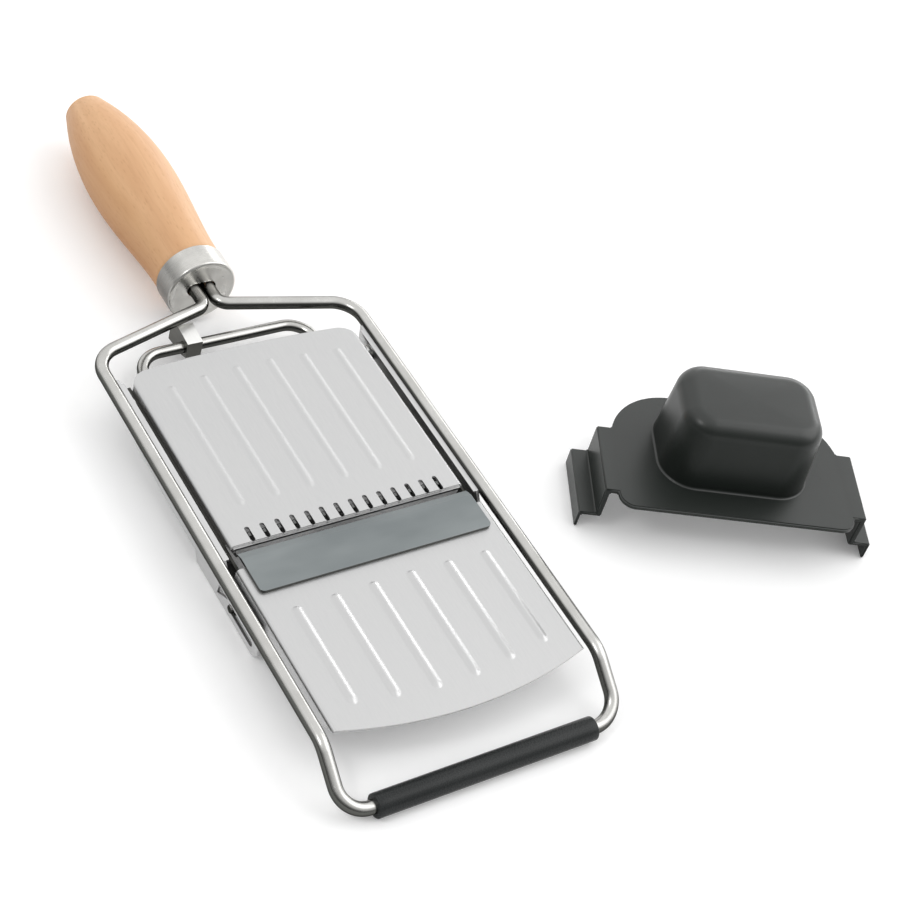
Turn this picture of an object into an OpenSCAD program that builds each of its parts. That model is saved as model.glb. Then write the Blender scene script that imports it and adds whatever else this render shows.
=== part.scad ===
// Hand-held mandoline slicer: a bent wire frame with a wooden handle, a fixed run-out plate with a
// straight blade, a tilting feed plate with a comb behind its slots, a sliding adjuster wire, and
// a separate food guard that lies beside it. All lengths are in millimetres.
// The slicer is drawn with x across, y towards the handle and z = 0 at the top of its plates.

/* [Frame] */
// Diameter of the frame wire
wire_d = 5; // [4:0.5:5.5]
// Distance between the two rail centres
rail_gap = 108; // [106:1:112]
// Length of the black sleeve on the foot bar
sleeve_len = 86; // [60:1:87]
// Outside diameter of the sleeve
sleeve_d = 8.6; // [7:0.1:9]
// Height of the plates above the table
rest_h = 19.2; // [19:0.1:24]

/* [Handle] */
// Largest diameter of the wooden handle
handle_d = 34.2; // [31:0.2:34.6]
// Distance from the feed plate's front edge to the tip of the handle
handle_tip_y = 239; // [234:1:262]
// Outside diameter of the ferrule
ferrule_d = 28.4; // [26:0.2:29]
// Length of the ferrule
ferrule_len = 10.5; // [9:0.5:13]

/* [Plates] */
// Thickness of the plates
sheet = 0.9; // [0.7:0.1:1]
// Width of the feed plate
feed_w = 93.6; // [90:0.2:94]
// Length of the feed plate without the bulge of its rear edge
feed_len = 88; // [86:0.5:89]
// Length of the run-out plate along its centre line
run_len = 78.3; // [70:0.1:80]
// Height of the pressed ribs above the plates
rib_h = 0.6; // [0.3:0.1:0.8]
// Length of the blade
blade_len = 92.4; // [86:0.2:93]
// Width of the blade
blade_w = 18.6; // [14:0.1:19]
// Thickness of the blade
blade_t = 1.2; // [0.8:0.1:1.4]

/* [Comb] */
// Number of slots and teeth
teeth = 14; // [8:1:14]
// Distance between neighbouring slots
tooth_pitch = 5.83; // [5:0.01:5.9]

/* [Adjustment] */
// Greatest slice thickness
slice_max = 3.5; // [1:0.1:3.6]
// Travel of the adjuster wire
adjust_travel = 15; // [10:0.5:15]

/* [Guard] */
// Width of the guard over its skirts
guard_w = 116; // [115.6:0.1:118]
// Height of the guard's plate
guard_plate_h = 21.7; // [20:0.1:24]
// Height of the knob above the plate
knob_h = 31; // [24:0.5:34]

/* [Layout] */
// Sideways place of the slicer
slicer_x = -76; // [-80:0.1:-70]
// Lengthwise place of the slicer
slicer_y = -66.4; // [-75:0.1:-60]
// Sideways place of the guard from the slicer's centre line
guard_x = 149.3; // [130:0.5:170]
// Lengthwise place of the guard from the feed plate's front edge
guard_y = -29.5; // [-60:0.5:40]
// Turn of the guard about the vertical
guard_turn = -27; // [-45:1:45]

/* [Hidden] */
$fn = 64;
cut = 0.5;
fit_gap = 0.05;
joint_gap = 0.02;

// Frame wire: the rails, the foot bar below them and the arms into the handle
rail_x = rail_gap / 2;
rail_z = -1.2;
rail_front_y = -81.5;
foot_y = -102;
foot_z = sleeve_d / 2 - rest_h;
rail_rear_y = 100.2;
arm_in_y = 114.2;
tang_x = 2.9;
tang_end_y = 168;
tang_slot_d = 5.8;
tang_slot_len = 8;
axis_z = handle_d / 2 - rest_h;

// Handle
ferrule_face_y = 123;
ferrule_wall = 1;
neck_d = ferrule_d - 2 * ferrule_wall;
neck_face_y = ferrule_face_y + 1.6;
neck_end_y = ferrule_face_y + ferrule_len;
belly_y = 188;
end_y = handle_tip_y - 4;
end_r = 9;

// Plates
feed_half = feed_w / 2;
run_half = 49.4;
run_rear_y = -9.1;
run_front_y = run_rear_y - run_len;
run_arc_r = 161;
flange_depth = 9;
fold_r = 1.6;
edge_y = -2.7;
rib_r = 3.2;

// Side plates, just inside the rails
side_out = 51.4;
side_t = 1.1;
side_in = side_out - side_t;
side_flange_in = 49.2;
side_top_z = -0.8;

// Feed plate pivot
pivot_y = 77;
pivot_z = -5.6;
pivot_d = 3;
arm_t = 1.1;
arm_out = feed_half + arm_t;
tilt_max = asin(slice_max / (pivot_y - edge_y));

// Adjuster wire: its pins stand in the slots of the side plates and carry the feed arms
loop_d = 4.5;
loop_x = 35.75;
loop_rear_y = 103.7;
loop_rear_z = -9.6;
pin_d = 3;
pin_y = -13.5;
pin_z = -14.8;
slot_gap = 0.15;

// Comb
slot_len = 6.7;
slot_w = 1.8;
slot_y = 4.1;
comb_shaft_y = 44;
comb_shaft_z = -5;
comb_shaft_d = 2.5;
comb_top_z = -6.6;
comb_x = 43.3;
tooth_t = 0.9;

// Guard
guard_t = 2.2;
shelf_h = 8.2;
wall_x = 51.4;
wall_y = 16.6;
knob_x = 29;
knob_front_y = -11;
knob_rear_y = 29;
prong_low_z = 8.5;

// ---- helpers ----

function unit(v) = v / norm(v);
function turn_between(u, v) = acos(max(-1, min(1, u * v)));
function back_off(a, b, c, r) = r * tan(turn_between(unit(b - a), unit(c - b)) / 2);

// A round rod from point a to point b
module rod(a, b, d) {
    w = unit(b - a);
    helper = abs(w[2]) < 0.9 ? [0, 0, 1] : [1, 0, 0];
    u = unit(cross(helper, w));
    v = cross(w, u);
    multmatrix([
        [u[0], v[0], w[0], a[0]],
        [u[1], v[1], w[1], a[1]],
        [u[2], v[2], w[2], a[2]],
        [0, 0, 0, 1]
    ])
        cylinder(d = d, h = norm(b - a));
}

// The round bend of radius r where a rod from a turns at b towards c
module bend(a, b, c, r, d) {
    u = unit(b - a);
    w = unit(c - b);
    angle = turn_between(u, w);
    n = unit(cross(u, w));
    side = cross(n, u);
    start = b - u * back_off(a, b, c, r);
    centre = start + side * r;
    x_dir = -side;
    y_dir = u;
    multmatrix([
        [x_dir[0], y_dir[0], n[0], centre[0]],
        [x_dir[1], y_dir[1], n[1], centre[1]],
        [x_dir[2], y_dir[2], n[2], centre[2]],
        [0, 0, 0, 1]
    ])
        rotate_extrude(angle = angle)
            translate([r, 0])
                circle(d = d);
}

// A rod along a list of points, with a bend radius at each inner point. A straight ends inside a
// thin disc of almost the same diameter, where the bend begins.
module bent_rod(points, radii, d) {
    last = len(points) - 1;
    for (i = [0:last - 1]) {
        a = points[i];
        b = points[i + 1];
        w = unit(b - a);
        start = i == 0 ? a : a + w * back_off(points[i - 1], a, b, radii[i - 1]);
        end = i == last - 1 ? b : b - w * back_off(a, b, points[i + 2], radii[i]);
        rod(i == 0 ? start : start + w * joint_gap, i == last - 1 ? end : end - w * joint_gap, d);
        if (i > 0)
            joining_disc(start, w, d);
        if (i < last - 1)
            joining_disc(end, w, d);
    }
    for (i = [1:last - 1])
        bend(points[i - 1], points[i], points[i + 1], radii[i - 1], d);
}

module joining_disc(centre, w, d) {
    rod(centre - w * 2 * joint_gap, centre + w * 2 * joint_gap, d + 2 * joint_gap);
}

// A flat piece drawn in (y, z), from x = x0 to x = x1
module across(x0, x1) {
    translate([x0, 0, 0])
        rotate([90, 0, 90])
            linear_extrude(x1 - x0)
                children();
}

// A rod along x
module cross_rod(x0, x1, y, z, d) {
    translate([x0, y, z])
        rotate([0, 90, 0])
            cylinder(d = d, h = x1 - x0);
}

// A rectangle with round corners, centred on x, from y0 to y1
module round_rect(half, y0, y1, r) {
    hull()
        for (x = [r - half, half - r])
            for (y = [y0 + r, y1 - r])
                translate([x, y])
                    circle(r = r);
}

// The section of a folded sheet, in (x, z)
module channel_outline(half, depth, r) {
    square_h = depth - r;
    translate([-half, -depth])
        square([2 * half, square_h]);
    translate([r - half, -r - cut])
        square([2 * (half - r), r + cut]);
    for (x = [r - half, half - r])
        translate([x, -r])
            circle(r = r);
}

module channel(half, depth, y0, y1) {
    translate([0, y1, 0])
        rotate([90, 0, 0])
            linear_extrude(y1 - y0)
                difference() {
                    channel_outline(half, depth, fold_r);
                    translate([0, -sheet])
                        channel_outline(half - sheet, depth, fold_r - sheet);
                }
}

// Pressed ribs: the tops of thin capsules that stand out of a plate
module ribs(pitch, rear, front) {
    intersection() {
        for (i = [0:2])
            for (s = [-1, 1])
                translate([s * (i + 0.5) * pitch, 0, rib_h - rib_r]) {
                    translate([0, front[i] + rib_r, 0])
                        sphere(r = rib_r);
                    translate([0, rear[i] - rib_r, 0])
                        sphere(r = rib_r);
                    translate([0, rear[i] - rib_r, 0])
                        rotate([90, 0, 0])
                            cylinder(r = rib_r, h = rear[i] - front[i] - 2 * rib_r);
                }
        translate([-feed_half, -150, -sheet / 2])
            cube([feed_w, 300, rib_h + sheet]);
    }
}

// ---- frame ----

function mirrored(points) = [for (i = [len(points) - 1:-1:0]) [-points[i][0], points[i][1], points[i][2]]];
function reversed(list) = [for (i = [len(list) - 1:-1:0]) list[i]];

frame_right = [
    [tang_x, tang_end_y, rail_z],
    [tang_x, arm_in_y, rail_z],
    [rail_x, rail_rear_y, rail_z],
    [rail_x, rail_front_y, rail_z],
    [rail_x, foot_y, foot_z]
];
frame_radii = [5, 12, 12, 10];

module frame_wire() {
    color("silver")
        bent_rod(concat(frame_right, mirrored(frame_right)), concat(frame_radii, reversed(frame_radii)), wire_d);
}

module foot_sleeve() {
    color("#2d3230")
        difference() {
            cross_rod(-sleeve_len / 2, sleeve_len / 2, foot_y, foot_z, sleeve_d);
            cross_rod(-sleeve_len / 2 - cut, sleeve_len / 2 + cut, foot_y, foot_z, wire_d + 2 * fit_gap);
        }
}

// ---- handle ----

function curve(t, a, b, c, d) =
    pow(1 - t, 3) * a + 3 * pow(1 - t, 2) * t * b + 3 * (1 - t) * t * t * c + pow(t, 3) * d;

handle_neck = neck_d / 2;
handle_mid = handle_d / 2;
handle_outline = concat(
    [[0, neck_face_y], [handle_neck, neck_face_y], [handle_neck, neck_end_y], [handle_neck + 0.5, neck_end_y]],
    [
        for (i = [1:8])
            curve(i / 8, [handle_neck + 0.5, neck_end_y], [handle_neck + 0.2, neck_end_y + 18],
                [handle_mid, belly_y - 20], [handle_mid, belly_y])
    ],
    [
        for (i = [1:8])
            curve(i / 8, [handle_mid, belly_y], [handle_mid, belly_y + 20],
                [end_r + 4, end_y - 11], [end_r, end_y])
    ],
    [for (a = [15:15:90]) [end_r * cos(a), end_y + (handle_tip_y - end_y) * sin(a)]]
);

// The slot through which both ends of the frame wire go into the handle
module tang_slot(y0, y1) {
    for (x = [-tang_x, tang_x])
        rod([x, y0, rail_z], [x, y1, rail_z], tang_slot_d);
    translate([-tang_x, y0, rail_z - tang_slot_d / 2])
        cube([2 * tang_x, y1 - y0, tang_slot_d]);
}

module handle() {
    color("#dcb488")
        difference() {
            translate([0, 0, axis_z])
                rotate([-90, 0, 0])
                    rotate_extrude()
                        polygon(handle_outline);
            for (x = [-tang_x, tang_x])
                rod([x, neck_face_y - cut, rail_z], [x, tang_end_y, rail_z], wire_d + 2 * fit_gap);
            tang_slot(neck_face_y - cut, neck_face_y + tang_slot_len);
        }
}

module ferrule() {
    color("#b9b8b2")
        difference() {
            translate([0, ferrule_face_y, axis_z])
                rotate([-90, 0, 0])
                    difference() {
                        rotate_extrude()
                            union() {
                                translate([0, 0.6])
                                    square([ferrule_d / 2 - 1, ferrule_len - 0.6]);
                                translate([0, 1])
                                    square([ferrule_d / 2, ferrule_len - 1]);
                                translate([ferrule_d / 2 - 1, 1])
                                    circle(r = 1);
                            }
                        translate([0, 0, neck_face_y - ferrule_face_y])
                            cylinder(d = neck_d, h = ferrule_len);
                    }
            tang_slot(ferrule_face_y - cut, neck_face_y + cut);
        }
}

// ---- fixed plates ----

module runout_plate() {
    color("#cfd0ce") {
        intersection() {
            channel(run_half, flange_depth + 1, run_front_y - 2, run_rear_y);
            union() {
                translate([-run_half, run_front_y + 8.5, -flange_depth - 2])
                    cube([2 * run_half, run_len, flange_depth + 3]);
                translate([0, run_front_y + run_arc_r, -sheet])
                    cylinder(r = run_arc_r, h = sheet, $fn = 200);
            }
        }
        ribs(15, [-29, -29.4, -29.8], [-77.2, -75.5, -73]);
    }
}

module blade() {
    back_y = edge_y - blade_w;
    color("#93a0a6")
        intersection() {
            across(-blade_len / 2, blade_len / 2)
                polygon([[edge_y, 0], [edge_y - 3.2, blade_t], [back_y, blade_t], [back_y, 0]]);
            translate([0, 0, -cut])
                linear_extrude(blade_t + 2 * cut)
                    union() {
                        translate([-blade_len / 2, back_y + 2])
                            square([blade_len, blade_w]);
                        translate([2 - blade_len / 2, back_y])
                            square([blade_len - 4, blade_w]);
                        for (s = [-1, 1])
                            translate([s * (blade_len / 2 - 2), back_y + 2])
                                circle(r = 2);
                    }
        }
}

// Outline of a side plate in (y, z): a sloping rear tail, a shallow middle and a deeper front
side_outline = [
    [87, side_top_z], [86, -6.4], [80, -10.2], [63, -13], [41, -15], [14.5, -15], [12.5, -18.9],
    [-31, -18.9], [-34, -16.4], [-34, -9.8], [-31, -4], [-6, -4], [-3.4, side_top_z]
];

module side_plate() {
    difference() {
        across(side_in, side_out)
            polygon(side_outline);
        across(side_in - cut, side_out + cut)
            polygon([[-3.4, -17.2], [-3.9, -12.9], [-10.9, -12.7]]);
        // the slot that the adjuster's pin slides in
        for (y = [pin_y, pin_y - adjust_travel])
            cross_rod(side_in - cut, side_out + cut, y, pin_z, pin_d + 2 * slot_gap);
        translate([side_in - cut, pin_y - adjust_travel, pin_z - pin_d / 2 - slot_gap])
            cube([side_t + 2 * cut, adjust_travel, pin_d + 2 * slot_gap]);
        cross_rod(side_in - cut, side_out + cut, pivot_y, pivot_z, pivot_d + 2 * fit_gap);
    }
    // narrow flange turned inwards along the top
    translate([side_flange_in, -3.4, side_top_z - side_t])
        cube([side_out - side_t / 2 - side_flange_in, 88, side_t]);
}

module side_plate_right() {
    color("#bdbdbb")
        side_plate();
}

module side_plate_left() {
    color("#bdbdbb")
        mirror([1, 0, 0])
            side_plate();
}

module pivot_rod() {
    head_x = side_out + 0.1;
    color("#a8a8a4") {
        cross_rod(-head_x, head_x, pivot_y, pivot_z, pivot_d);
        for (x = [-head_x - 0.7, head_x])
            cross_rod(x, x + 0.7, pivot_y, pivot_z, 4);
    }
}

module pivot_collars() {
    color("#a8a8a4")
        for (x = [-side_in + 0.1, arm_out + 0.1])
            difference() {
                cross_rod(x, x + side_in - arm_out - 0.2, pivot_y, pivot_z, 6);
                cross_rod(x - cut, x + 3, pivot_y, pivot_z, pivot_d + 2 * fit_gap);
            }
}

// ---- feed plate ----

module feed_outline() {
    rear_r = 8;
    union() {
        translate([-feed_half, 0])
            square([feed_w, feed_len - rear_r]);
        translate([rear_r - feed_half, 0])
            square([feed_w - 2 * rear_r, feed_len]);
        for (s = [-1, 1])
            translate([s * (feed_half - rear_r), feed_len - rear_r])
                circle(r = rear_r);
        // the rear edge bulges by 1.6 mm
        intersection() {
            translate([0, feed_len + 1.6 - 480])
                circle(r = 480, $fn = 720);
            translate([rear_r - feed_half, feed_len - 4])
                square([feed_w - 2 * rear_r, 8]);
        }
    }
}

module feed_plate() {
    color("#d2d3d1")
        difference() {
            union() {
                intersection() {
                    channel(feed_half, flange_depth, 0, feed_len + 3);
                    union() {
                        translate([-feed_half, 4, -flange_depth - 1])
                            cube([feed_w, 78, flange_depth + 2]);
                        translate([0, 0, -2 * sheet])
                            linear_extrude(2 * sheet)
                                feed_outline();
                    }
                }
                translate([-feed_half + fold_r, 0, -4])
                    cube([feed_w - 2 * fold_r, sheet, 4]);
                ribs(13.8, [80.3, 79.3, 77.7], [16.5, 16.5, 16.5]);
            }
            for (i = [0:teeth - 1])
                translate([(i - (teeth - 1) / 2) * tooth_pitch, slot_y, -2 * sheet]) {
                    for (s = [-1, 1])
                        translate([0, s * (slot_len - slot_w) / 2, 0])
                            cylinder(d = slot_w, h = 4 * sheet, $fn = 24);
                    translate([-slot_w / 2, (slot_w - slot_len) / 2, 0])
                        cube([slot_w, slot_len - slot_w, 4 * sheet]);
                }
            cross_rod(-50, 50, pivot_y, pivot_z, pivot_d + 2 * fit_gap);
            cross_rod(-50, 50, comb_shaft_y, comb_shaft_z, comb_shaft_d + 2 * fit_gap);
        }
}

// The lower edge of a feed arm follows the pin as the pin slides and the arm tilts with it
function in_feed_frame(p, a) = [
    pivot_y + (p[0] - pivot_y) * cos(a) + (p[1] - pivot_z) * sin(a),
    pivot_z - (p[0] - pivot_y) * sin(a) + (p[1] - pivot_z) * cos(a)
];
function pin_at(s) = in_feed_frame([pin_y - adjust_travel * s, pin_z], tilt_max * s);
function cam_normal(s) =
    let (d = unit(pin_at(s + 0.01) - pin_at(s - 0.01))) [d[1], -d[0]];
cam_steps = 12;
cam_reach = pin_d / 2 + slot_gap;
cam_edge = [for (i = [0:cam_steps + 1]) pin_at(i / cam_steps) + cam_normal(i / cam_steps) * cam_reach];
arm_low_z = pin_z + cam_reach;

module feed_arm() {
    difference() {
        across(feed_half, arm_out)
            polygon(concat(
                [[84, -3], [84, -7.5], [68, -11.5], [40, arm_low_z]],
                cam_edge,
                [[cam_edge[cam_steps + 1][0] - 1.5, cam_edge[cam_steps + 1][1] + 2], [-32, -3]]
            ));
        cross_rod(feed_half - cut, arm_out + cut, pivot_y, pivot_z, pivot_d + 2 * fit_gap);
        cross_rod(feed_half - cut, arm_out + cut, comb_shaft_y, comb_shaft_z, comb_shaft_d + 2 * fit_gap);
    }
}

module feed_arm_right() {
    color("#b4b4b1")
        feed_arm();
}

module feed_arm_left() {
    color("#b4b4b1")
        mirror([1, 0, 0])
            feed_arm();
}

// ---- comb ----

module comb_plate() {
    color("#c4c8c9") {
        translate([-comb_x, 1.5, comb_top_z - sheet])
            cube([2 * comb_x, 8.5, sheet]);
        for (i = [0:teeth - 1])
            translate([(i - (teeth - 1) / 2) * tooth_pitch - tooth_t / 2, 0, 0])
                across(0, tooth_t)
                    polygon([[2.2, comb_top_z], [3.5, -0.3], [5.1, -0.3], [6.3, comb_top_z]]);
        for (x = [-comb_x, comb_x - sheet])
            difference() {
                across(x, x + sheet)
                    polygon([
                        [1.5, comb_top_z - sheet], [1.5, comb_top_z], [40, -3.2], [46.5, -2.6],
                        [47.5, -5], [46.5, -7.4], [40, -8], [8, comb_top_z - 2.4]
                    ]);
                cross_rod(x - cut, x + sheet + cut, comb_shaft_y, comb_shaft_z, comb_shaft_d);
            }
    }
}

module comb_shaft() {
    color("#a8a8a4")
        cross_rod(-arm_out - 0.6, arm_out + 0.6, comb_shaft_y, comb_shaft_z, comb_shaft_d);
}

module comb_lever() {
    half = 9;
    top = comb_top_z - sheet;
    color("#c4c8c9")
        intersection() {
            across(-half, half)
                polygon([
                    [10, top], [5.4, top], [2.8, top - 3.4], [-15, top - 4.6],
                    [-15, top - 5.6], [2.4, top - 4.4], [5, top - 1], [10, top - 1]
                ]);
            translate([0, 0, -20])
                linear_extrude(20)
                    round_rect(half, -15, 16, 5);
        }
}

// ---- adjuster ----

loop_right = [
    [loop_x + 10, pin_y, pin_z],
    [loop_x, pin_y, pin_z],
    [loop_x, loop_rear_y, loop_rear_z]
];

module adjuster_wire() {
    pin_end = side_out + 0.4;
    color("#b8b8b4") {
        bent_rod(concat(loop_right, mirrored(loop_right)), [6, 10, 10, 6], loop_d);
        for (x = [-pin_end, loop_x + 9])
            cross_rod(x, x + pin_end - loop_x - 9, pin_y, pin_z, pin_d);
    }
}

module adjuster_clips() {
    color("#8f8f8c")
        for (x = [-side_in + 0.2, side_in - 1.1])
            difference() {
                cross_rod(x, x + 0.9, pin_y, pin_z, 5.4);
                cross_rod(x - cut, x + 0.9 + cut, pin_y, pin_z, pin_d);
            }
}

module catch_tab() {
    x0 = -15.9;
    x1 = -9.6;
    wall = 0.8;
    front_y = loop_rear_y - 3.3;
    tip_y = loop_rear_y + 11.5;
    top_z = loop_rear_z + 5.3;
    color("#c9c9c5")
        difference() {
            across(x0, x1)
                polygon([
                    [front_y, top_z - 0.9], [tip_y - 5, top_z], [tip_y, top_z - 6.5],
                    [tip_y, top_z - 11.1], [loop_rear_y - 0.5, top_z - 9.3], [front_y, top_z - 8]
                ]);
            // the hollow, open at the bottom
            across(x0 + wall, x1 - wall)
                polygon([
                    [front_y + wall, -20], [front_y + wall, top_z - 1.6], [tip_y - 5.4, top_z - wall],
                    [tip_y - wall, top_z - 6.8], [tip_y - wall, -20]
                ]);
            cross_rod(x0 - cut, x1 + cut, loop_rear_y, loop_rear_z, loop_d + 2 * fit_gap);
        }
}

// ---- guard, lying on the table beside the slicer ----

module knob_shape(shrink, low, high) {
    foot_r = 13 - shrink;
    top_r = foot_r - 1.5;
    edge_r = 5.6 - shrink;
    hull() {
        for (x = [-1, 1])
            for (y = [knob_front_y + 13, knob_rear_y - 13])
                translate([x * (knob_x - 13), y, low]) {
                    cylinder(r = foot_r, h = 2, $fn = 32);
                    translate([0, 0, high - low - edge_r])
                        rotate_extrude($fn = 32)
                            translate([top_r - edge_r, 0])
                                circle(r = edge_r, $fn = 24);
                }
    }
}

module guard_outline() {
    translate([-wall_x, -wall_y])
        square([2 * wall_x, 2 * wall_y]);
    // narrower front end, with corners of 6 mm
    front_half = 46.2;
    front_y = -23.5;
    translate([-front_half, front_y + 6])
        square([2 * front_half, 10]);
    translate([6 - front_half, front_y])
        square([2 * (front_half - 6), 10]);
    for (s = [-1, 1])
        translate([s * (front_half - 6), front_y + 6])
            circle(r = 6);
    // rear end, with corners of 26 mm
    rear_half = 45.9;
    rear_y = 37;
    rear_r = 26;
    translate([-rear_half, 0])
        square([2 * rear_half, rear_y - rear_r]);
    translate([rear_r - rear_half, 0])
        square([2 * (rear_half - rear_r), rear_y]);
    for (s = [-1, 1])
        translate([s * (rear_half - rear_r), rear_y - rear_r])
            circle(r = rear_r, $fn = 96);
}

module guard_place() {
    translate([guard_x, guard_y, 0])
        rotate([0, 0, guard_turn])
            children();
}

module guard_body() {
    skirt_x = guard_w / 2;
    skirt_t = 1.1;
    color("#3b3c3d")
        guard_place()
            difference() {
                union() {
                    translate([0, 0, guard_plate_h - guard_t])
                        linear_extrude(guard_t)
                            guard_outline();
                    for (s = [0, 1])
                        mirror([s, 0, 0]) {
                            translate([wall_x - guard_t, -wall_y, shelf_h - 1.6])
                                cube([guard_t, 2 * wall_y, guard_plate_h - shelf_h]);
                            translate([wall_x - guard_t, -wall_y, shelf_h - 1.6])
                                cube([skirt_x - wall_x + guard_t, 2 * wall_y, 1.6]);
                            translate([skirt_x - skirt_t, -wall_y, 0])
                                cube([skirt_t, 2 * wall_y, shelf_h]);
                        }
                    knob_shape(0, guard_plate_h - 1, guard_plate_h + knob_h);
                }
                knob_shape(2.4, guard_plate_h - guard_t - 1, guard_plate_h + knob_h - 2.4);
            }
}

module guard_prongs() {
    color("#a9adb0")
        guard_place()
            for (s = [-1, 1])
                for (y = [-10, 0, 10, 20])
                    translate([s * 39, y, prong_low_z])
                        cylinder(d = 1.8, h = guard_plate_h - guard_t - prong_low_z, $fn = 24);
}

module in_place() {
    translate([slicer_x, slicer_y, rest_h])
        children();
}

module on_table() {
    translate([slicer_x, slicer_y, 0])
        children();
}

in_place() frame_wire();
in_place() foot_sleeve();
in_place() handle();
in_place() ferrule();
in_place() runout_plate();
in_place() blade();
in_place() side_plate_left();
in_place() side_plate_right();
in_place() pivot_rod();
in_place() pivot_collars();
in_place() feed_plate();
in_place() feed_arm_left();
in_place() feed_arm_right();
in_place() comb_plate();
in_place() comb_shaft();
in_place() comb_lever();
in_place() adjuster_wire();
in_place() adjuster_clips();
in_place() catch_tab();
on_table() guard_body();
on_table() guard_prongs();
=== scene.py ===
"""Mandoline slicer with its food guard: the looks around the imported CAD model.

Lengths in capitals and the arguments of at() are millimetres in the slicer's own frame: x across, y from
the feed plate's front edge towards the handle, z = 0 at the top of the plates. The guard has a frame of
its own, see guard_at().
"""

import math

import bmesh
import bpy
from mathutils import Matrix, Vector


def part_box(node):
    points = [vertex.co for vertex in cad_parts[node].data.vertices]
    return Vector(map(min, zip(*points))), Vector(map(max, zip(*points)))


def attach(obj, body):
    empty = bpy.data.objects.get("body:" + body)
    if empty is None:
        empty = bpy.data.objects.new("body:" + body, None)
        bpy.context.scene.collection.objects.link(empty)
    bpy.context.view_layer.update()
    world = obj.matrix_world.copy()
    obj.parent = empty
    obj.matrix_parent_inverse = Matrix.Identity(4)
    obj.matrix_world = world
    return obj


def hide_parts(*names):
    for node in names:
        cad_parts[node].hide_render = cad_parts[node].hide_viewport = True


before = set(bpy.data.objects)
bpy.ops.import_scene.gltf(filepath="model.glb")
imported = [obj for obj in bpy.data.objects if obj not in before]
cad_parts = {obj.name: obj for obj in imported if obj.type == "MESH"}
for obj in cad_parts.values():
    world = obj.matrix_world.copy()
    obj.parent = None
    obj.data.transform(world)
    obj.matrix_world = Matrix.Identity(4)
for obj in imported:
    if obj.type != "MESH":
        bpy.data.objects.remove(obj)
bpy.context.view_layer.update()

MM = 0.001
feed_low, feed_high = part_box("feed_plate")
blade_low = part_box("blade")[0]
wire_low, wire_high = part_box("frame_wire")
SLICER = Vector(((wire_low.x + wire_high.x) / 2, feed_low.y, blade_low.z))


def at(x, y, z):
    """A point of the slicer's frame, in metres in the row frame."""
    return SLICER + Vector((x, y, z)) * MM


# ---------------------------------------------------------------- materials

# directions that surfaces may face, in the row frame
UP = (0.0, 0.0, 1.0)
DOWN = (0.0, 0.0, -1.0)
TO_FOOT_BAR = (0.0, -1.0, 0.35)
UP_RIGHT = (0.82, 0.0, 0.57)
UP_RIGHT_FRONT = (0.75, -0.35, 0.55)
UP_RIGHT_REAR = (0.45, 0.35, 0.82)

# scales of the coordinates that draw lines out along the slicer
ALONG = (1.0, 0.03, 1.0)
SHORT = (1.0, 0.10, 1.0)


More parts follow.
